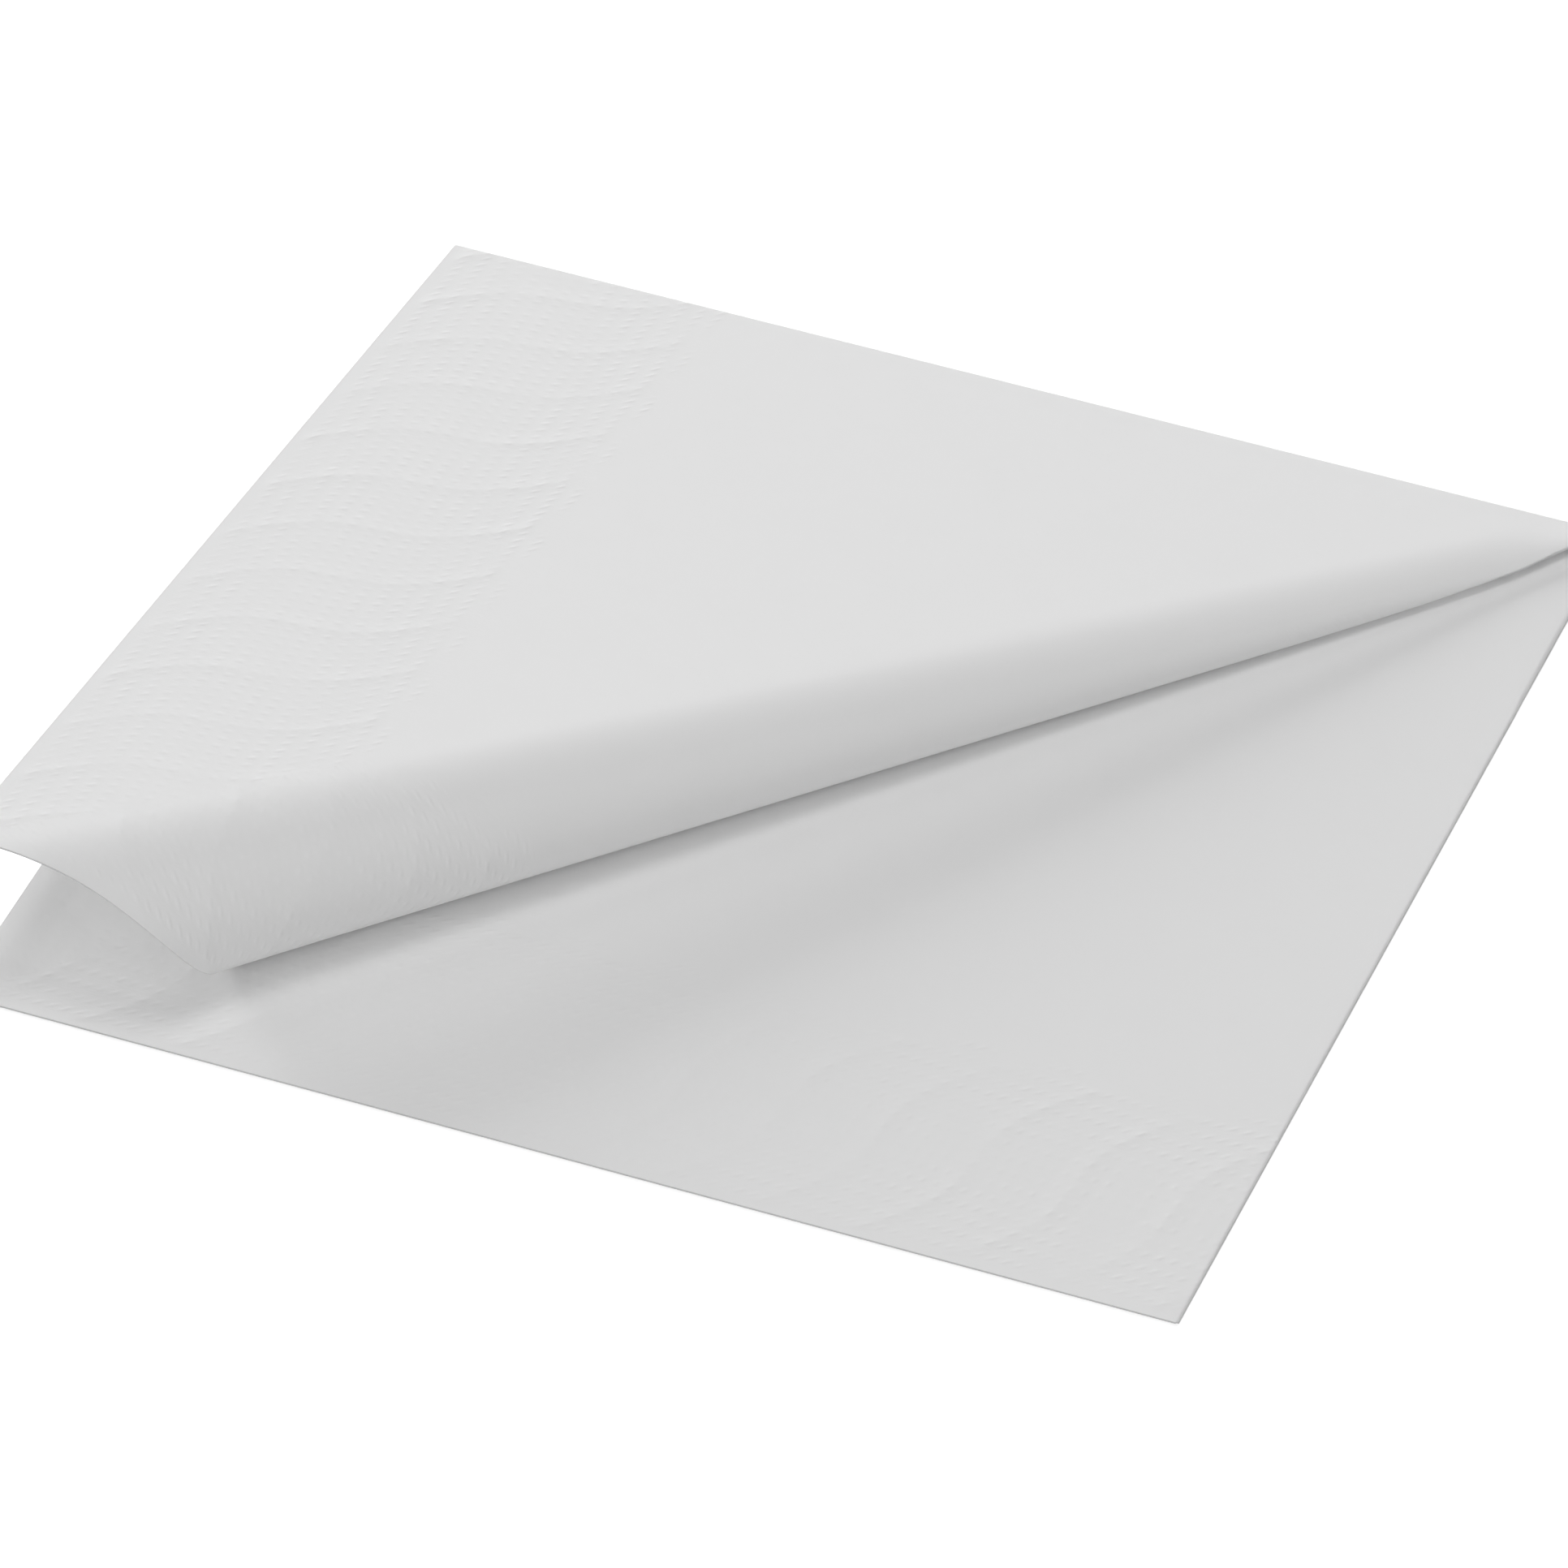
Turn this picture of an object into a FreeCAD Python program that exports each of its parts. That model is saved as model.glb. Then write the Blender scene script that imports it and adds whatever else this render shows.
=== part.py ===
import FreeCAD, Part

import math
import os

from FreeCAD import Vector

# A square paper napkin, folded twice into a square of four leaves, lying on
# a table. Its two upper leaves stand open along the back fold, and their front
# right corner is rolled under along the diagonal and tucked in on the two
# lower leaves. The whole napkin is one sheet and so one solid.
#
# X runs along the back fold, Y to the back and Z up, in millimetres. The
# origin is in the middle of the folded square, on the table.

# Driving dimensions of the paper
sheet_side = 330.0  # the napkin laid out flat
leaf_thickness = 0.35  # one layer of three-ply embossed tissue
leaf_gap = 0.15  # air between two layers that lie on each other

# Driving dimensions of the folds
back_fold_height = 4.0  # outside height of the back fold at its right end
lift_angle = 7.9  # slope of the raised leaves, up from the back fold
roll_overhang = 27.0  # from the right edge out to the point that the roll tapers to
roll_skew = 40.0  # turn of the roll's axis away from the line where both planes meet

# Each curved stretch is a row of smooth patches, side by side
curved_patches = 8

# Sizes that follow
pair_thickness = 2 * leaf_thickness + leaf_gap
outer_fold_radius = pair_thickness + leaf_gap / 2
side_bend_radius = leaf_thickness + leaf_gap / 2
inner_leaf = (sheet_side - math.pi * (leaf_gap + leaf_thickness) / 2) / 2
outer_leaf = (sheet_side - math.pi * (leaf_gap + leaf_thickness) * 1.5) / 2
leaf_width = inner_leaf
folded_width = leaf_width + side_bend_radius
folded_depth = inner_leaf + back_fold_height / 2
left = -folded_width / 2
back = folded_depth / 2 - back_fold_height / 2
tuck_level = pair_thickness + leaf_gap

UP = Vector(0, 0, 1)
DOWN = Vector(0, 0, -1)
RIGHT = Vector(1, 0, 0)
FRONT = Vector(0, -1, 0)


def unit(vector):
    return Vector(vector).normalize()


def square_to(vector, line):
    """The unit part of a vector that is square to a line."""
    return unit(vector - line * vector.dot(line))


class Flat:
    """A flat stretch of a folded pair of leaves.

    u runs from the open left edge to the side fold, v from the back fold to
    the open front edge, and depth from the outer face into the pair."""

    def __init__(self, origin, across, forward, outward):
        self.origin = origin
        self.across = across
        self.forward = forward
        self.outward = outward

    def point(self, u, v, depth=0.0):
        return self.origin + self.across * u + self.forward * v - self.outward * depth

    def ray(self, angle):
        """Direction in the sheet, turned from the back fold towards the front edge."""
        return self.forward * math.sin(angle) - self.across * math.cos(angle)


def line(start, end):
    return Part.LineSegment(start, end).toShape()


def bend(start, end, out, slant):
    """Half turn from start to end, stretched along out where it is cut aslant."""
    centre = (start + end) / 2
    radius = (end - start).Length / 2
    middle = centre + out * radius * slant
    if slant == 1:
        return Part.Arc(start, middle, end).toShape()
    ellipse = Part.Ellipse(middle, end, centre)
    return Part.ArcOfEllipse(ellipse, -math.pi / 2, math.pi / 2).toShape()


def pair_outline(outer_end, inner_end, side, outward, slant=1):
    """Closed outline of a pair of leaves that the side fold joins.

    It is cut along a line in the sheet: outer_end and inner_end are where the
    two leaves end, side is where the side fold starts, all three on the outer
    face. slant is how obliquely the line crosses the side fold."""
    inward = outward * -1
    out = unit(side - outer_end)
    second = inward * leaf_thickness
    third = inward * (leaf_thickness + leaf_gap)
    last = inward * pair_thickness
    return Part.Wire([
        line(outer_end, side),
        bend(side, side + last, out, slant),
        line(side + last, inner_end + last),
        line(inner_end + last, inner_end + third),
        line(inner_end + third, side + third),
        line(side + third, side + second),
        line(side + second, outer_end + second),
        line(outer_end + second, outer_end),
    ])


def slab(flat, length, depth):
    """One leaf from the left edge to the side fold."""
    corners = [(0, 0), (leaf_width, 0), (leaf_width, length), (0, length), (0, 0)]
    outline = Part.makePolygon([flat.point(u, v, depth) for u, v in corners])
    return Part.Face(outline).extrude(flat.outward * -leaf_thickness)


def flat_pair(flat):
    """Both leaves with the side fold, lying flat. The inner leaf ends later."""
    outer = pair_outline(
        flat.point(0, 0), flat.point(0, 0), flat.point(leaf_width, 0), flat.outward
    )
    pair = Part.Face(outer).extrude(flat.forward * outer_leaf)
    return pair.fuse(slab(flat, inner_leaf, leaf_thickness + leaf_gap))


def corner_beyond(flat, tip, angle):
    """The space past a line through tip, on the side of the front right corner."""
    reach = 2 * sheet_side
    start = tip - flat.ray(angle) * reach
    end = tip + flat.ray(angle) * reach
    beyond = flat.across * (2 * reach)
    base = [start, end, end + beyond, start + beyond, start]
    outline = Part.makePolygon([point + flat.outward * leaf_gap for point in base])
    return Part.Face(outline).extrude(flat.outward * -(pair_thickness + 2 * leaf_gap))


def back_fold_point(radius_left, radius_right, turn, u):
    """Point on the outside of the back fold, which widens to the right."""
    radius = radius_left + (radius_right - radius_left) * u / leaf_width
    centre = Vector(left + u, back, radius)
    return centre + Vector(0, math.sin(turn), -math.cos(turn)) * radius


class Roll:
    """The cone that the rolled corner lies on.

    It touches the raised leaves and the level of the tucked corner, and tapers
    to a tip past the right end of the back fold."""

    def __init__(self, raised):
        skew = math.radians(roll_skew)
        u = leaf_width + roll_overhang
        start = raised.point(u, 0)
        v = (tuck_level - start.z) / raised.forward.z
        self.tip_u, self.tip_v = u, v
        self.tip = raised.point(u, v)
        hinge = unit(raised.outward.cross(UP))
        if hinge.dot(RIGHT) > 0:
            hinge = hinge * -1
        rise = square_to(raised.forward, hinge)
        level = square_to(FRONT, hinge)
        middle = unit(rise + level)
        self.axis = hinge * math.cos(skew) + middle * math.sin(skew)
        half_opening = rise.getAngle(level) / 2
        self.half_angle = math.asin(math.sin(skew) * math.sin(half_opening))
        to_contact = math.acos(math.cos(skew) / math.cos(self.half_angle))
        contact = hinge * math.cos(to_contact) + rise * math.sin(to_contact)
        outermost = middle * math.cos(skew) - hinge * math.sin(skew)
        self.first = square_to(contact, self.axis)
        self.second = square_to(outermost, self.first)
        self.wrap = 2 * self.first.getAngle(outermost)
        self.start_angle = math.atan2(
            contact.dot(raised.forward), -contact.dot(raised.across)
        )
        self.end_angle = self.start_angle + self.wrap * math.sin(self.half_angle)

    def around(self, turn):
        return self.first * math.cos(turn) + self.second * math.sin(turn)

    def direction(self, turn):
        cos, sin = math.cos(self.half_angle), math.sin(self.half_angle)
        return self.axis * cos + self.around(turn) * sin

    def outward(self, turn):
        cos, sin = math.cos(self.half_angle), math.sin(self.half_angle)
        return self.around(turn) * cos - self.axis * sin

    def outline(self, turn):
        """Cut through the pair of leaves along one straight line of the cone."""
        angle = self.start_angle + turn * math.sin(self.half_angle)
        direction = self.direction(turn)
        slant = 1 / math.cos(angle)
        outer_reach = (outer_leaf - self.tip_v) / math.sin(angle)
        inner_reach = (inner_leaf - self.tip_v) / math.sin(angle)
        side_reach = (self.tip_u - leaf_width) * slant
        return pair_outline(
            self.tip + direction * outer_reach,
            self.tip + direction * inner_reach,
            self.tip + direction * side_reach,
            self.outward(turn),
            slant,
        )

    def tucked(self):
        """The flat stretch that follows the roll, upside down on the lower leaves."""
        angle = self.end_angle
        direction = self.direction(self.wrap)
        onward = self.around(self.wrap + math.pi / 2)
        across = onward * math.sin(angle) - direction * math.cos(angle)
        forward = direction * math.sin(angle) + onward * math.cos(angle)
        origin = self.tip - across * self.tip_u - forward * self.tip_v
        return Flat(origin, across, forward, DOWN)


def curved(outline_at, full_turn):
    """Solids that follow an outline round a bend, from turn 0 to full_turn."""
    turns = [full_turn * step / (2 * curved_patches) for step in range(2 * curved_patches + 1)]
    outlines = [outline_at(turn) for turn in turns]
    starts = range(0, 2 * curved_patches, 2)
    return [Part.makeLoft(outlines[start:start + 3], True) for start in starts]


def back_fold(radius_left, radius_right, full_turn):
    """The rounded second fold, which carries both pairs of leaves."""
    def outline(turn):
        end = back_fold_point(radius_left, radius_right, turn, 0)
        side = back_fold_point(radius_left, radius_right, turn, leaf_width)
        onward = Vector(0, math.cos(turn), math.sin(turn))
        return pair_outline(end, end, side, unit(onward.cross(side - end)))

    return curved(outline, full_turn)


def raised_flat(radius_left, radius_right, full_turn):
    """The plane of the raised leaves, where the back fold ends."""
    origin = back_fold_point(radius_left, radius_right, full_turn, 0)
    side = back_fold_point(radius_left, radius_right, full_turn, leaf_width)
    across = unit(side - origin)
    onward = Vector(0, math.cos(full_turn), math.sin(full_turn))
    forward = square_to(onward, across)
    return Flat(origin, across, forward, unit(onward.cross(across)))


def napkin():
    radius_left = outer_fold_radius
    radius_right = back_fold_height / 2
    full_turn = math.pi - math.radians(lift_angle)
    lower = Flat(Vector(left, back, 0), RIGHT, FRONT, DOWN)
    raised = raised_flat(radius_left, radius_right, full_turn)
    roll = Roll(raised)
    tucked = roll.tucked()
    pieces = [
        *back_fold(radius_left, radius_right, full_turn),
        flat_pair(raised).cut(corner_beyond(raised, roll.tip, roll.start_angle)),
        *curved(roll.outline, roll.wrap),
        flat_pair(tucked).common(corner_beyond(tucked, roll.tip, roll.end_angle)),
    ]
    return flat_pair(lower).fuse(pieces).removeSplitter()


shape = napkin()
print("napkin: solids", len(shape.Solids), "valid", shape.isValid())
print("volume", round(shape.Volume, 1), "area", round(shape.Area, 1))
print("box", shape.BoundBox)

os.makedirs("parts", exist_ok=True)
shape.exportStep("parts/napkin.step")
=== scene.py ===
import math

import bmesh
import bpy
from mathutils import Matrix, Vector


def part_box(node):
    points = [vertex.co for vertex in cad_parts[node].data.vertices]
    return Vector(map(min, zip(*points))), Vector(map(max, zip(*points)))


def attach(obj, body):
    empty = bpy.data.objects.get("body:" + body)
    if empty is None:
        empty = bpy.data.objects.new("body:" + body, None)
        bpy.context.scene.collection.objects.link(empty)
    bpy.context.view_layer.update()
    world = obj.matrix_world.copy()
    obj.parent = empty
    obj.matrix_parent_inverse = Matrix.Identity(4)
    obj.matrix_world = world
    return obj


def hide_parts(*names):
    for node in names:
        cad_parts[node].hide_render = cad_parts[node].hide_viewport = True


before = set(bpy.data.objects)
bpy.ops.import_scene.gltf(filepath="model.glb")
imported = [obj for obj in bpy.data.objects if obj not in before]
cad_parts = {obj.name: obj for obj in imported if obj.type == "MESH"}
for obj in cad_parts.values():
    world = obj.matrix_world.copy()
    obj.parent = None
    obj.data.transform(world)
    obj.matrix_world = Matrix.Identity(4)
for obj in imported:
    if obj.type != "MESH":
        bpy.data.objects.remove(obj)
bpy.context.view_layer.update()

# A square paper napkin, folded twice into a square of four leaves. Its two
# upper leaves stand open along the back fold, and their front right corner is
# rolled under along the diagonal and tucked in on the two lower leaves.

mm = 0.001

# Paper, as in the CAD model
sheet_side = 330.0 * mm
leaf_thickness = 0.35 * mm
leaf_gap = 0.15 * mm
pair_thickness = 2 * leaf_thickness + leaf_gap
leaf_pitch = leaf_thickness + leaf_gap
inner_leaf = (sheet_side - math.pi * leaf_pitch / 2) / 2
outer_leaf = (sheet_side - math.pi * leaf_pitch * 1.5) / 2
leaf_width = inner_leaf
side_bend_radius = leaf_thickness + leaf_gap / 2
box_low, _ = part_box("napkin")
left = -(leaf_width + side_bend_radius) / 2
back = box_low.y + inner_leaf
tuck_level = pair_thickness + leaf_gap

# Folds, from the photograph
fold_radius_left = pair_thickness + leaf_gap / 2
fold_radius_right = 1.02 * mm
lift_angle = math.radians(8.13)
roll_inset = 7.43 * mm  # the roll starts this far left of the right edge, at the back fold
roll_heading = math.radians(46.95)  # of the roll's straight lines, from the back fold
shoulder_radius = 19.4 * mm
shoulder_turn = math.radians(22.43)
face_half_angle = math.radians(3.13)
face_turn = math.radians(63.2)

# Round the back right corner the roll is tight and doesn't reach down
tightest_bend = 0.45 * mm
squeezed_bend = 0.75 * mm  # a tighter roll presses its leaves together
corner_reach = 17.0 * mm
corner_core = 7.0 * mm
corner_rise = 0.35 * mm
corner_back = 0.35 * mm

# At its open front edge the raised pair lies close, with its inner leaf set back
inner_setback = 0.5 * mm
end_reach = 15.0 * mm
end_squeeze = 0.4
visible_thickness = 0.24 * mm  # pressed thin; the CAD leaf holds the loft of the embossing

# Mesh
columns_per_leaf = 118
columns_in_side_fold = 8
rows_in_lower_leaf = 52
rows_in_back_fold = 14
rows_in_raised_flat = 44
rows_in_shoulder = 16
rows_in_face = 14
rows_in_nose = 26
rows_in_tuck = 22
fold_lead = 0.3 * mm  # a column or row just before each fold keeps the leaf flat up to it
corner_cut = 4.0 * mm  # the last row stops this far from the tucked corner
merge_distance = 0.1 * mm

# Embossed border, along the free edges of the flat sheet
border_width = 41.0 * mm
border_margin = 2.2 * mm
border_fade = 1.6 * mm
row_pitch = 1.87 * mm
rows_per_line = 7  # every seventh row is a stronger line
dot_pitch = 2.6 * mm
row_slant = 0.55  # how far a row drifts along the edge for each step into the border
sway_height = 2.58 * mm
sway_length = 36.0 * mm
sway_start = 19.0 * mm
scallop_depth = 3.5 * mm
dot_sharpness = 2.0
line_sharpness = 8.0
dot_height = 0.05 * mm
line_height = 0.08 * mm

# Surface of the tissue; each grain is in waves for each metre of the sheet's two sides
crepe_grain = (500.0, 2600.0, 1.0)
crepe_height = 0.008 * mm
fibre_grain = (1400.0, 1400.0, 1.0)
fibre_height = 0.010 * mm
cloud_grain = (120.0, 120.0, 1.0)
low_cloud = 0.35
high_cloud = 0.65
faintest_relief = 0.35  # of the embossing where the cloud is low
strongest_relief = 1.15
thin_tone = 0.93
thick_tone = 0.945
# Painted shade: the free edges of the sheet and their rims are darkened, for the shade at the
# paper's edges and in the gaps between its plies
painted_edge_shade_width = 0.12 * mm
painted_edge_shade_tone = 0.72
low_fibre = 0.3
high_fibre = 0.7
least_roughness = 0.86
most_roughness = 0.95
paper_specular = 0.2

# The photograph's view: where the camera stands, and the point that it looks at
camera_azimuth = math.radians(21.18)
camera_elevation = math.radians(40.16)
camera_roll = math.radians(0.552)
camera_distance = 1.774
camera_target = Vector((-0.674 * mm, -4.806 * mm, 0.0))
camera_lens = 315.74
camera_sensor = 36.0
camera_near = 0.01
camera_far = 50.0

# Soft studio light; the floor glows for the camera alone, so that it shows as plain white
floor_reach = 3.0
floor_grain = 60.0
dark_floor_tone = 0.90
light_floor_tone = 0.93
floor_roughness = 0.9
floor_glow = 0.6
world_strength = 0.02
light_distance = 2.0
light_size = 0.9

# Name, azimuth and elevation in degrees, power; azimuth 0 is in front, 90 to the right
studio_lights = [
    ("low_front_light", 0, 30, 10.2),
    ("front_light", 0, 60, 3.8),
    ("right_light", 60, 35, 2.4),
    ("top_light", 0, 90, 10.2),
    ("back_light", 180, 45, 5.3),
    ("low_back_light", 205, 12, 16.1),
    ("low_left_light", 240, 14, 13.6),
]

UP = Vector((0, 0, 1))
RIGHT = Vector((1, 0, 0))


def unit(vector):
    return vector.normalized()


def eased(share):
    share = min(1.0, max(0.0, share))
    return share * share * (3 - 2 * share)


class Flat:
    """A flat stretch of the paper: u to the side fold, v to the open front edge."""

    def __init__(self, origin, across, forward, outward):
        self.origin = origin
        self.across = across
        self.forward = forward
        self.outward = outward

    def place(self, u, v):
        return self.origin + self.across * u + self.forward * v, self.outward


class Facing:
    """Where the paper heads at one straight line of a bend."""

    def __init__(self, along, onward, outward):
        self.along = along
        self.onward = onward
        self.outward = outward

    def turned(self, axis, angle):
        """The facing further round a bend, which turns the paper towards its inner face."""
        turn = Matrix.Rotation(-angle, 3, axis)
        return Facing(turn @ self.along, turn @ self.onward, turn @ self.outward)

    def cone_axis(self, half_angle):
        return self.along * math.cos(half_angle) - self.outward * math.sin(half_angle)


def back_fold_radius(u):
    return fold_radius_left + (fold_radius_right - fold_radius_left) * u / leaf_width


def back_fold_place(u, turn):
    radius = back_fold_radius(u)
    outward = Vector((0, math.sin(turn), -math.cos(turn)))
    return Vector((left + u, back, radius)) + outward * radius, outward


class RaisedPair:
    """The outer face of the raised pair of leaves, from the back fold to the tucked corner.

    Past the flat comes a round shoulder with parallel lines, then a wide and a
    narrow cone that share one tip, then the flat that is tucked in."""

    def __init__(self):
        self.full_turn = math.pi - lift_angle
        self.flat = self.make_flat()
        self.sin, self.cos = math.sin(roll_heading), math.cos(roll_heading)
        self.start_u = leaf_width - roll_inset
        self.start, _ = self.flat.place(self.start_u, 0.0)
        self.shoulder = Facing(
            self.flat.forward * self.sin - self.flat.across * self.cos,
            self.flat.across * self.sin + self.flat.forward * self.cos,
            self.flat.outward,
        )
        self.shoulder_width = shoulder_radius * shoulder_turn
        self.face = self.shoulder.turned(self.shoulder.along, shoulder_turn)
        edge = self.start + (self.face.outward - self.flat.outward) * shoulder_radius
        reach = (tuck_level - edge.z) / self.face.along.z
        self.tip = edge + self.face.along * reach
        self.tip_u = self.start_u + self.shoulder_width * self.sin - reach * self.cos
        self.tip_v = self.shoulder_width * self.cos + reach * self.sin
        self.face_axis = self.face.cone_axis(face_half_angle)
        self.nose = self.face.turned(self.face_axis, face_turn)
        self.nose_heading = roll_heading + face_turn * math.sin(face_half_angle)
        self.nose_half_angle = math.atan2(self.nose.along.z, 1 + self.nose.outward.z)
        self.nose_axis = self.nose.cone_axis(self.nose_half_angle)
        around = self.square_to_nose(self.nose.outward)
        nose_turn = around.angle(self.square_to_nose(UP * -1))
        self.tuck_heading = self.nose_heading + nose_turn * math.sin(self.nose_half_angle)
        self.tuck = self.nose.turned(self.nose_axis, nose_turn)

    def make_flat(self):
        origin, _ = back_fold_place(0, self.full_turn)
        side, _ = back_fold_place(leaf_width, self.full_turn)
        across = unit(side - origin)
        onward = Vector((0, math.cos(self.full_turn), math.sin(self.full_turn)))
        forward = unit(onward - across * onward.dot(across))
        return Flat(origin, across, forward, unit(forward.cross(across)))

    def square_to_nose(self, vector):
        return unit(vector - self.nose_axis * vector.dot(self.nose_axis))

    def place(self, u, v):
        """Place in space and outward direction of a spot on the sheet."""
        place, outward = self.rolled_place(u, v)
        share = self.share_past_shoulder(u, v)
        grow = max(0.0, tightest_bend - self.nose_radius(u, v)) * share
        reach = math.hypot(u - leaf_width, v)
        near = eased((corner_reach - reach) / (corner_reach - corner_core)) * share
        shift = Vector((0, corner_back * min(1.0, v / corner_core), corner_rise))
        return place + (outward + UP) * grow + shift * near, outward

    def past_start(self, u, v):
        """How far a spot is past the line where the shoulder starts."""
        return (u - self.start_u) * self.sin + v * self.cos

    def share_past_shoulder(self, u, v):
        """Eased from 0 on the flat to 1 past the shoulder."""
        return eased(self.past_start(u, v) / self.shoulder_width)

    def nose_radius(self, u, v):
        reach = math.hypot(u - self.tip_u, v - self.tip_v)
        return reach * math.tan(self.nose_half_angle)

    def squeeze(self, u, v):
        """How much thinner the pair is where the roll is tight."""
        bend = max(tightest_bend, self.nose_radius(u, v))
        return 1 - self.share_past_shoulder(u, v) * (1 - min(1.0, bend / squeezed_bend))

    def rolled_place(self, u, v):
        past = self.past_start(u, v)
        if past <= 0:
            return self.flat.place(u, v)
        if past <= self.shoulder_width:
            along = v * self.sin - (u - self.start_u) * self.cos
            turned = self.shoulder.turned(self.shoulder.along, past / shoulder_radius)
            drop = (turned.outward - self.shoulder.outward) * shoulder_radius
            return self.start + self.shoulder.along * along + drop, turned.outward
        return self.place_round_tip(u, v)

    def place_round_tip(self, u, v):
        """Place on the two cones or on the tucked flat, which all meet at the tip."""
        reach = math.hypot(u - self.tip_u, v - self.tip_v)
        heading = math.atan2(v - self.tip_v, self.tip_u - u)
        if heading <= self.nose_heading:
            turn = (heading - roll_heading) / math.sin(face_half_angle)
            facing = self.face.turned(self.face_axis, turn)
        elif heading <= self.tuck_heading:
            turn = (heading - self.nose_heading) / math.sin(self.nose_half_angle)
            facing = self.nose.turned(self.nose_axis, turn)
        else:
            turn = heading - self.tuck_heading
            straight = self.tuck.along * math.cos(turn) + self.tuck.onward * math.sin(turn)
            return self.tip + straight * reach, self.tuck.outward
        return self.tip + facing.along * reach, facing.outward


def in_steps(start, end, steps):
    return [start + (end - start) * step / steps for step in range(1, steps + 1)]


def shares_to_fold(steps):
    """Shares of the way from an open edge to a fold, with one more just before the fold."""
    return [0.0] + in_steps(0, 1 - fold_lead / leaf_width, steps) + [1.0]


def across_spots():
    """Columns of the mesh: the outer leaf, the side fold and the inner leaf.

    Each is its share of the way from the open edge to the side fold, and the
    turn of the fold."""
    shares = shares_to_fold(columns_per_leaf)
    outer = [(share, 0.0) for share in shares]
    fold = [(1.0, turn) for turn in in_steps(0, math.pi, columns_in_side_fold)]
    inner = [(share, math.pi) for share in shares[-2::-1]]
    return outer + fold + inner


class Fan:
    """Rows of the raised pair, along straight lines that fan out from one point.

    The point is in line with the back fold, as far to the right as the tip of
    the cones."""

    def __init__(self, raised):
        self.width = raised.tip_u
        self.past_side = self.width - leaf_width
        near_fold = self.heading_to(0, fold_lead)
        corner = self.heading_to(0, outer_leaf)
        last_place = outer_leaf - corner_cut
        last = self.heading_to(leaf_width, last_place)
        tuck_start = self.past_side * math.tan(raised.tuck_heading)
        side_places = in_steps(tuck_start, last_place, rows_in_tuck)
        self.headings = (
            [near_fold]
            + in_steps(near_fold, corner, rows_in_raised_flat)
            + in_steps(corner, roll_heading, rows_in_shoulder)
            + in_steps(roll_heading, raised.nose_heading, rows_in_face)
            + in_steps(raised.nose_heading, raised.tuck_heading, rows_in_nose)
            + [min(last, self.heading_to(leaf_width, place)) for place in side_places]
        )

    def heading_to(self, u, v):
        return math.atan2(v, self.width - u)

    def spot(self, heading, share):
        """u and v at a share of the way from the open edges to the side fold."""
        side_v = self.past_side * math.tan(heading)
        end_u, end_v = 0.0, self.width * math.tan(heading)
        if end_v > outer_leaf:
            end_u, end_v = self.width - outer_leaf / math.tan(heading), outer_leaf
        return end_u + (leaf_width - end_u) * share, end_v + (side_v - end_v) * share


def along_spots(fan):
    """Rows of the mesh: the lower pair, the back fold and the raised pair."""
    lower = [("lower", share) for share in shares_to_fold(rows_in_lower_leaf)]
    fold = [("fold", share) for share in in_steps(0, 1, rows_in_back_fold)]
    return lower + fold + [("raised", heading) for heading in fan.headings]


class Spot:
    """Where one corner of the mesh lies on the outer face of its pair of leaves."""

    def __init__(self, u, flat_v, place, outward, squeeze=1.0, ahead=RIGHT):
        self.u = u
        self.flat_v = flat_v
        self.place = place
        self.outward = outward
        self.squeeze = squeeze
        self.ahead = ahead


def lower_spot(u, length, share):
    v = length * (1 - share)
    return Spot(u, length - v, Vector((left + u, back - v, 0)), UP * -1)


def fold_spot(raised, u, length, share):
    """A spot of the back fold, which follows the lift of the raised pair near its corner."""
    turn = raised.full_turn * share
    weight = math.sin(turn / 2) ** 2
    place, outward = back_fold_place(u, turn)
    end, end_outward = raised.place(u, 0)
    flat_end, flat_outward = raised.flat.place(u, 0)
    place = place + (end - flat_end) * weight
    outward = unit(outward + (end_outward - flat_outward) * weight)
    squeeze = 1 + (raised.squeeze(u, 0) - 1) * weight
    return Spot(u, length + (sheet_side - 2 * length) * share, place, outward, squeeze)


def raised_spot(raised, u, v, length, raised_length):
    place, outward = raised.place(u, v)
    before, _ = raised.place(u - mm, v)
    at_end = eased(1 - (raised_length - v) / end_reach)
    squeeze = raised.squeeze(u, v) * (1 - end_squeeze * at_end)
    flat_v = sheet_side - length * (1 - v / raised_length)
    return Spot(u, flat_v, place, outward, squeeze, unit(place - before))


def folded_place(raised, fan, share, side_turn, part, along):
    """Middle of the paper in space, and its place on the flat sheet as shares of its side."""
    inner_share = side_turn / math.pi
    length = outer_leaf + (inner_leaf - outer_leaf) * inner_share
    if part == "lower":
        spot = lower_spot(leaf_width * share, length, along)
    elif part == "fold":
        spot = fold_spot(raised, leaf_width * share, length, along)
    else:
        u, v = fan.spot(along, share)
        raised_length = outer_leaf - inner_setback * inner_share
        spot = raised_spot(raised, u, v * raised_length / outer_leaf, length, raised_length)
    bend = leaf_pitch / 2
    depth = pair_thickness / 2 - bend * math.cos(side_turn)
    middle = spot.place - spot.outward * depth * spot.squeeze
    middle = middle + spot.ahead * bend * math.sin(side_turn)
    flat_u = spot.u + side_turn * bend if side_turn < math.pi else sheet_side - spot.u
    return middle, (flat_u / sheet_side, spot.flat_v / sheet_side)


def put_in_scene(name, form, material):
    mesh = bpy.data.meshes.new(name)
    form.to_mesh(mesh)
    form.free()
    made = bpy.data.objects.new(name, mesh)
    bpy.context.scene.collection.objects.link(made)
    mesh.materials.append(material)
    return made


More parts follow.
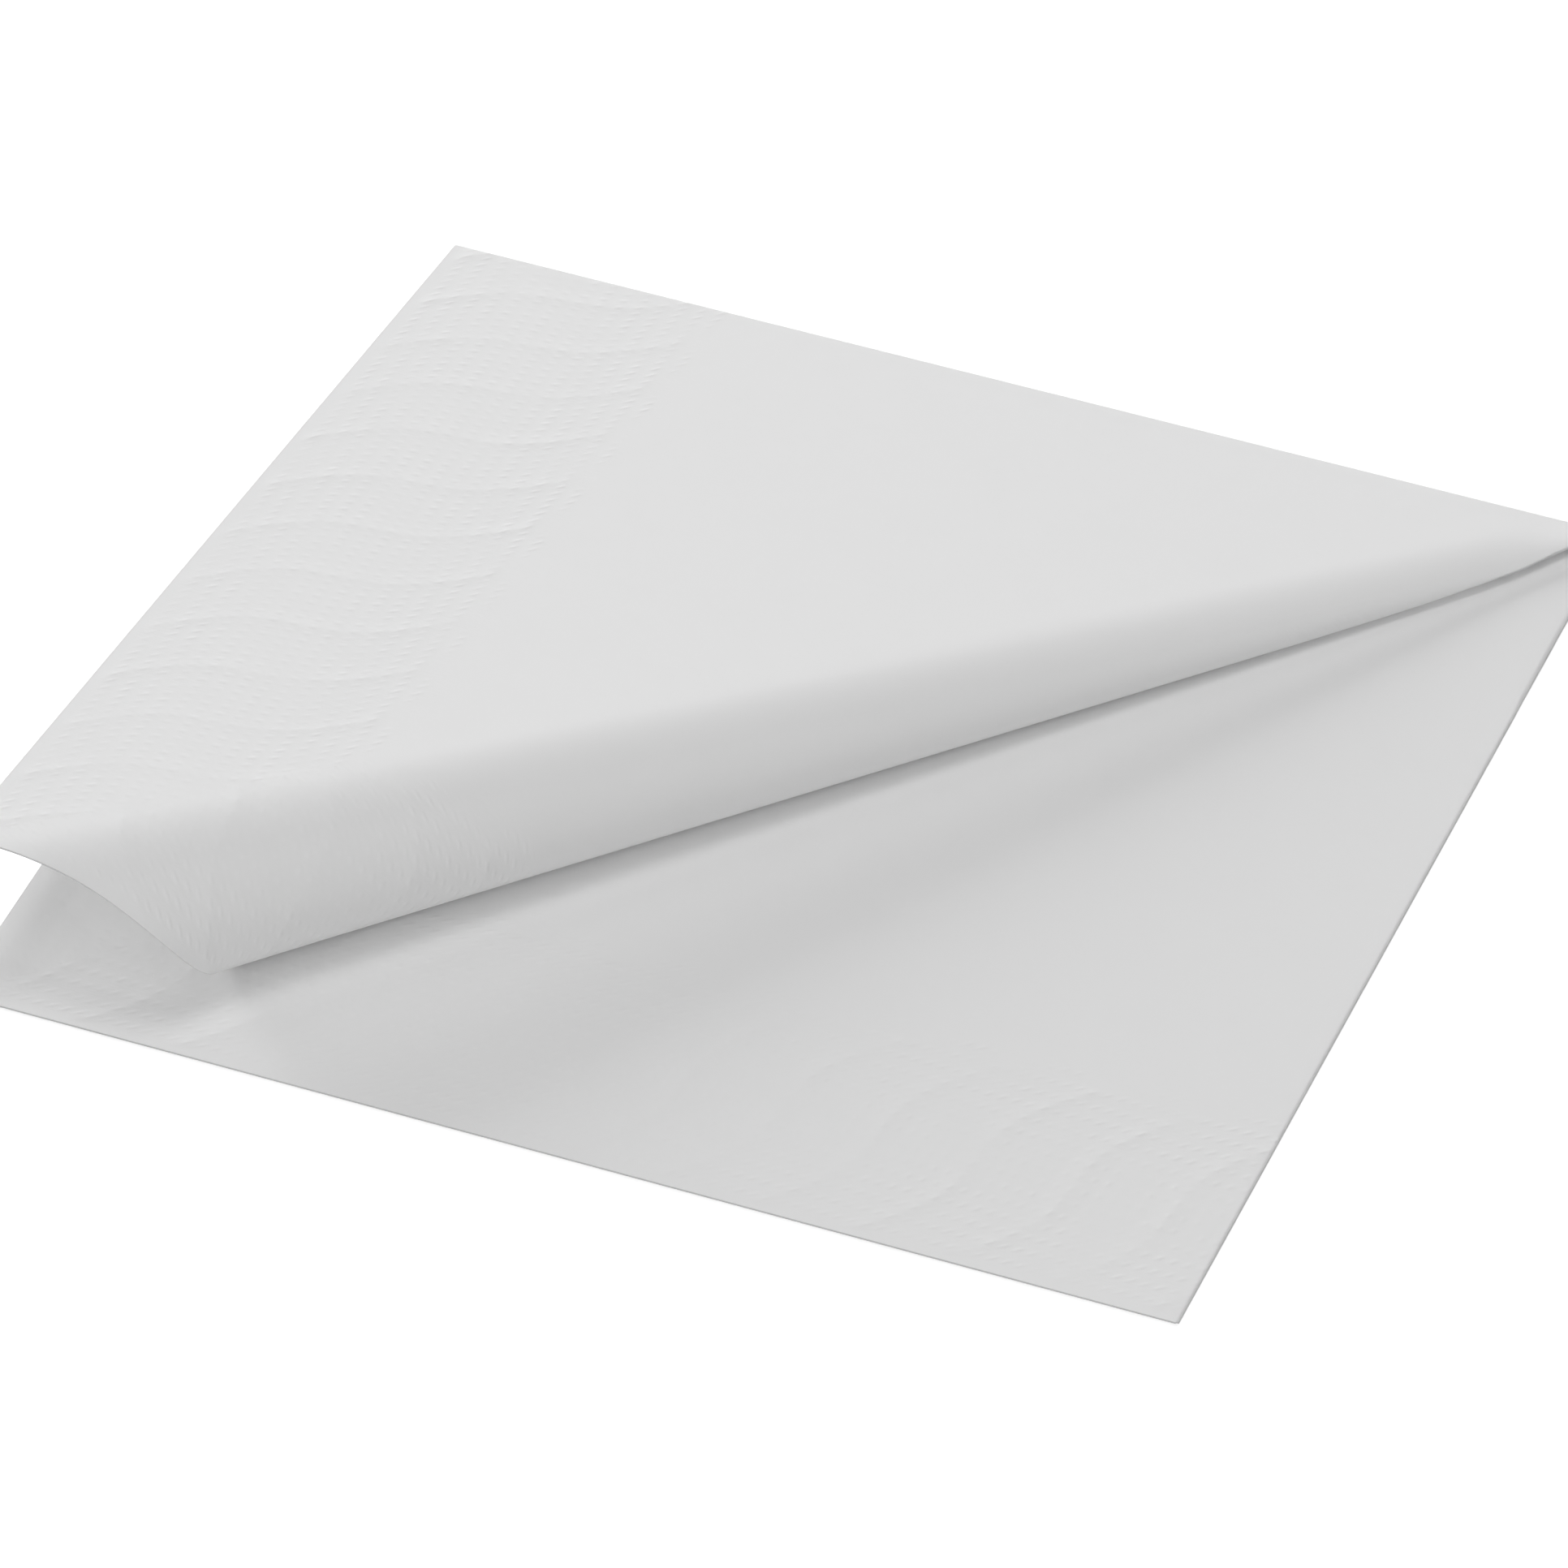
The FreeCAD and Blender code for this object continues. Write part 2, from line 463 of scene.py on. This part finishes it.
def make_napkin(paper):
    raised = RaisedPair()
    fan = Fan(raised)
    across = across_spots()
    along = along_spots(fan)
    columns, rows = len(across) - 1, len(along) - 1
    form = bmesh.new()
    bmesh.ops.create_grid(form, x_segments=columns, y_segments=rows, size=0.5)
    flat_places = {}
    for corner in form.verts:
        column = round((corner.co.x + 0.5) * columns)
        row = round((corner.co.y + 0.5) * rows)
        place, flat_place = folded_place(raised, fan, *across[column], *along[row])
        corner.co = place
        flat_places[corner.index] = flat_place
    sheet_map = form.loops.layers.uv.new("sheet")
    for face in form.faces:
        face.smooth = True
        for loop in face.loops:
            loop[sheet_map].uv = flat_places[loop.vert.index]
    bmesh.ops.remove_doubles(form, verts=form.verts[:], dist=merge_distance)
    for edge in form.edges:
        edge.smooth = not edge.is_boundary
    napkin = put_in_scene("napkin_sheet", form, paper)
    body = napkin.modifiers.new("thickness", "SOLIDIFY")
    body.thickness = visible_thickness
    body.offset = 0.0
    return napkin


def grey(tone):
    return (tone, tone, tone, 1)


class NodeMaker:
    """Adds nodes to a tree and joins them as it goes."""

    def __init__(self, tree):
        self.tree = tree

    def node(self, kind, *sources, **settings):
        made = self.tree.nodes.new(kind)
        for name, value in settings.items():
            setattr(made, name, value)
        for socket, source in zip(made.inputs, sources):
            self.feed(source, socket)
        return made

    def feed(self, source, socket):
        if isinstance(source, bpy.types.NodeSocket):
            self.tree.links.new(source, socket)
        else:
            socket.default_value = source

    def math(self, operation, *sources):
        return self.node("ShaderNodeMath", *sources, operation=operation).outputs[0]

    def smooth(self, value, low, high, to_low, to_high):
        sources = (value, low, high, to_low, to_high)
        made = self.node("ShaderNodeMapRange", *sources, interpolation_type="SMOOTHSTEP")
        return made.outputs[0]

    def mix(self, share, first, second):
        """A colour between two others."""
        made = self.node("ShaderNodeMix", data_type="RGBA")
        self.feed(share, made.inputs["Factor"])
        self.feed(first, made.inputs["A"])
        self.feed(second, made.inputs["B"])
        return made.outputs["Result"]

    def wave(self, value, pitch):
        """Cosine between 0 and 1 that repeats at every pitch."""
        turned = self.math("COSINE", self.math("MULTIPLY", value, 2 * math.pi / pitch))
        return self.math("MULTIPLY_ADD", turned, 0.5, 0.5)

    def grain(self, sheet, waves, detail, roughness):
        """Noise with a number of waves per metre along each side of the sheet."""
        mapping = self.node("ShaderNodeMapping", sheet)
        mapping.inputs["Scale"].default_value = waves
        made = self.node("ShaderNodeTexNoise", mapping.outputs[0])
        made.inputs["Scale"].default_value = 1.0
        made.inputs["Detail"].default_value = detail
        made.inputs["Roughness"].default_value = roughness
        return made.outputs["Fac"]


def new_group(name, inputs, outputs):
    group = bpy.data.node_groups.new(name, "ShaderNodeTree")
    for title, kind in inputs:
        group.interface.new_socket(name=title, in_out="INPUT", socket_type=kind)
    for title, kind in outputs:
        group.interface.new_socket(name=title, in_out="OUTPUT", socket_type=kind)
    entry = group.nodes.new("NodeGroupInput").outputs
    leave = group.nodes.new("NodeGroupOutput").inputs
    return group, NodeMaker(group), entry, leave


def place_group(maker, group, *sources):
    placed = maker.node("ShaderNodeGroup", node_tree=group)
    for socket, source in zip(placed.inputs, sources):
        maker.feed(source, socket)
    return placed.outputs


def make_border_group():
    """Embossed border: slanted, swaying rows of pin dots, with every seventh row a line."""
    group, maker, entry, leave = new_group(
        "embossed_border",
        [(title, "NodeSocketFloat") for title in ("Across", "Along")],
        [(title, "NodeSocketFloat") for title in ("Dots", "Lines", "Edge")],
    )
    x, y = entry["Across"], entry["Along"]
    from_side = maker.math("MINIMUM", x, maker.math("SUBTRACT", sheet_side, x))
    from_end = maker.math("MINIMUM", y, maker.math("SUBTRACT", sheet_side, y))
    depth = maker.math("MINIMUM", from_side, from_end)
    at_side = maker.math("LESS_THAN", from_side, from_end)
    at_end = maker.math("SUBTRACT", 1.0, at_side)
    edgewise = maker.math(
        "ADD", maker.math("MULTIPLY", y, at_side), maker.math("MULTIPLY", x, at_end)
    )
    inward = maker.math("SUBTRACT", depth, sway_start)
    sway = maker.math("SINE", maker.math("MULTIPLY", inward, 2 * math.pi / sway_length))
    drift = maker.math("MULTIPLY_ADD", sway, -sway_height, edgewise)
    row_place = maker.math("MULTIPLY_ADD", depth, row_slant, drift)
    rows = maker.wave(row_place, row_pitch)
    lines = maker.wave(row_place, row_pitch * rows_per_line)
    dots = maker.wave(depth, dot_pitch)
    inner = maker.math("ADD", depth, maker.math("MULTIPLY", lines, scallop_depth))
    inside = maker.smooth(inner, border_width - border_fade, border_width, 1.0, 0.0)
    outside = maker.smooth(depth, border_margin - border_fade, border_margin, 0.0, 1.0)
    mask = maker.math("MULTIPLY", inside, outside)
    pins = maker.math("POWER", maker.math("MULTIPLY", rows, dots), dot_sharpness)
    ridges = maker.math("POWER", lines, line_sharpness)
    maker.feed(maker.math("MULTIPLY", pins, mask), leave["Dots"])
    maker.feed(maker.math("MULTIPLY", ridges, mask), leave["Lines"])
    # Edge: mask of the painted shade along the free edges of the sheet, fading out within its
    # width
    maker.feed(maker.smooth(depth, 0.0, painted_edge_shade_width, 1.0, 0.0), leave["Edge"])
    return group


def make_fibre_group():
    """Fine crepe lines and felted fibres, as heights, and the cloudy tone of thin tissue."""
    group, maker, entry, leave = new_group(
        "tissue_fibres",
        [("Sheet", "NodeSocketVector")],
        [(title, "NodeSocketFloat") for title in ("Crepe", "Fibres", "Clouds")],
    )
    sheet = entry["Sheet"]
    maker.feed(maker.grain(sheet, crepe_grain, detail=2.0, roughness=0.5), leave["Crepe"])
    maker.feed(maker.grain(sheet, fibre_grain, detail=4.0, roughness=0.6), leave["Fibres"])
    maker.feed(maker.grain(sheet, cloud_grain, detail=3.0, roughness=0.6), leave["Clouds"])
    return group


def new_material(name):
    material = bpy.data.materials.new(name)
    material.use_nodes = True
    tree = material.node_tree
    tree.nodes.clear()
    output = tree.nodes.new("ShaderNodeOutputMaterial")
    shader = tree.nodes.new("ShaderNodeBsdfPrincipled")
    tree.links.new(shader.outputs["BSDF"], output.inputs["Surface"])
    return material, NodeMaker(tree), shader


def relief(maker, border, fibres):
    """Height of the tissue's surface: the embossing, the crepe lines and the fibres."""
    height = maker.math("MULTIPLY", border["Dots"], dot_height)
    height = maker.math("MULTIPLY_ADD", border["Lines"], line_height, height)
    wear = maker.smooth(fibres["Clouds"], low_cloud, high_cloud, faintest_relief, strongest_relief)
    height = maker.math("MULTIPLY", height, wear)
    height = maker.math("MULTIPLY_ADD", fibres["Crepe"], crepe_height, height)
    return maker.math("MULTIPLY_ADD", fibres["Fibres"], fibre_height, height)


def make_paper():
    material, maker, shader = new_material("tissue_paper")
    sheet_map = maker.node("ShaderNodeUVMap", uv_map="sheet").outputs[0]
    sheet = maker.node("ShaderNodeVectorMath", sheet_map, operation="SCALE")
    sheet.inputs["Scale"].default_value = sheet_side
    places = maker.node("ShaderNodeSeparateXYZ", sheet.outputs[0]).outputs
    border = place_group(maker, make_border_group(), places["X"], places["Y"])
    fibres = place_group(maker, make_fibre_group(), sheet.outputs[0])
    bump = maker.node("ShaderNodeBump")
    bump.inputs["Strength"].default_value = 1.0
    bump.inputs["Distance"].default_value = 1.0
    maker.feed(relief(maker, border, fibres), bump.inputs["Height"])
    maker.feed(bump.outputs["Normal"], shader.inputs["Normal"])
    tone = maker.mix(fibres["Clouds"], grey(thin_tone), grey(thick_tone))
    # Painted shade: a darker tone along the free edges of the sheet and on their rims
    tone = maker.mix(border["Edge"], tone, grey(painted_edge_shade_tone))
    roughness = maker.smooth(
        fibres["Fibres"], low_fibre, high_fibre, least_roughness, most_roughness
    )
    maker.feed(tone, shader.inputs["Base Color"])
    maker.feed(roughness, shader.inputs["Roughness"])
    shader.inputs["Specular IOR Level"].default_value = paper_specular
    return material


def make_floor():
    material, maker, shader = new_material("pale_floor")
    places = maker.node("ShaderNodeTexCoord").outputs["Object"]
    noise = maker.node("ShaderNodeTexNoise", places)
    noise.inputs["Scale"].default_value = floor_grain
    tone = maker.mix(noise.outputs["Fac"], grey(dark_floor_tone), grey(light_floor_tone))
    maker.feed(tone, shader.inputs["Base Color"])
    shader.inputs["Roughness"].default_value = floor_roughness
    seen = maker.node("ShaderNodeLightPath").outputs["Is Camera Ray"]
    shader.inputs["Emission Color"].default_value = grey(1)
    maker.feed(maker.math("MULTIPLY", seen, floor_glow), shader.inputs["Emission Strength"])
    form = bmesh.new()
    bmesh.ops.create_grid(form, x_segments=1, y_segments=1, size=floor_reach)
    floor = put_in_scene("floor", form, material)


def direction(azimuth, elevation):
    """Unit vector away from the napkin; azimuth 0 is in front, 90 degrees to the right."""
    flat = math.cos(elevation)
    return Vector((math.sin(azimuth) * flat, -math.cos(azimuth) * flat, math.sin(elevation)))


def stand(name, data, target, away, distance, roll=0.0):
    """Puts a camera or light at a distance from a target and turns it to that."""
    made = bpy.data.objects.new(name, data)
    bpy.context.scene.collection.objects.link(made)
    made.location = target + away * distance
    look = (away * -1).to_track_quat("-Z", "Y")
    made.rotation_mode = "QUATERNION"
    made.rotation_quaternion = look @ Matrix.Rotation(roll, 3, "Z").to_quaternion()
    return made


def make_camera():
    data = bpy.data.cameras.new("camera")
    data.sensor_width = camera_sensor
    data.lens = camera_lens
    data.clip_start = camera_near
    data.clip_end = camera_far
    away = direction(camera_azimuth, camera_elevation)
    bpy.context.scene.camera = stand(
        "camera", data, camera_target, away, camera_distance, camera_roll
    )


def soft_light(name, azimuth, elevation, power):
    data = bpy.data.lights.new(name, "AREA")
    data.shape = "SQUARE"
    data.size = light_size
    data.energy = power
    away = direction(math.radians(azimuth), math.radians(elevation))
    stand(name, data, Vector(), away, light_distance)


def make_world():
    world = bpy.data.worlds.new("studio")
    world.use_nodes = True
    background = world.node_tree.nodes["Background"]
    background.inputs["Color"].default_value = grey(1)
    background.inputs["Strength"].default_value = world_strength
    bpy.context.scene.world = world


make_camera()
bpy.context.scene.view_settings.view_transform = "Standard"
napkin = make_napkin(make_paper())
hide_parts("napkin")
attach(napkin, "root")
make_floor()
make_world()
for light in studio_lights:
    soft_light(*light)
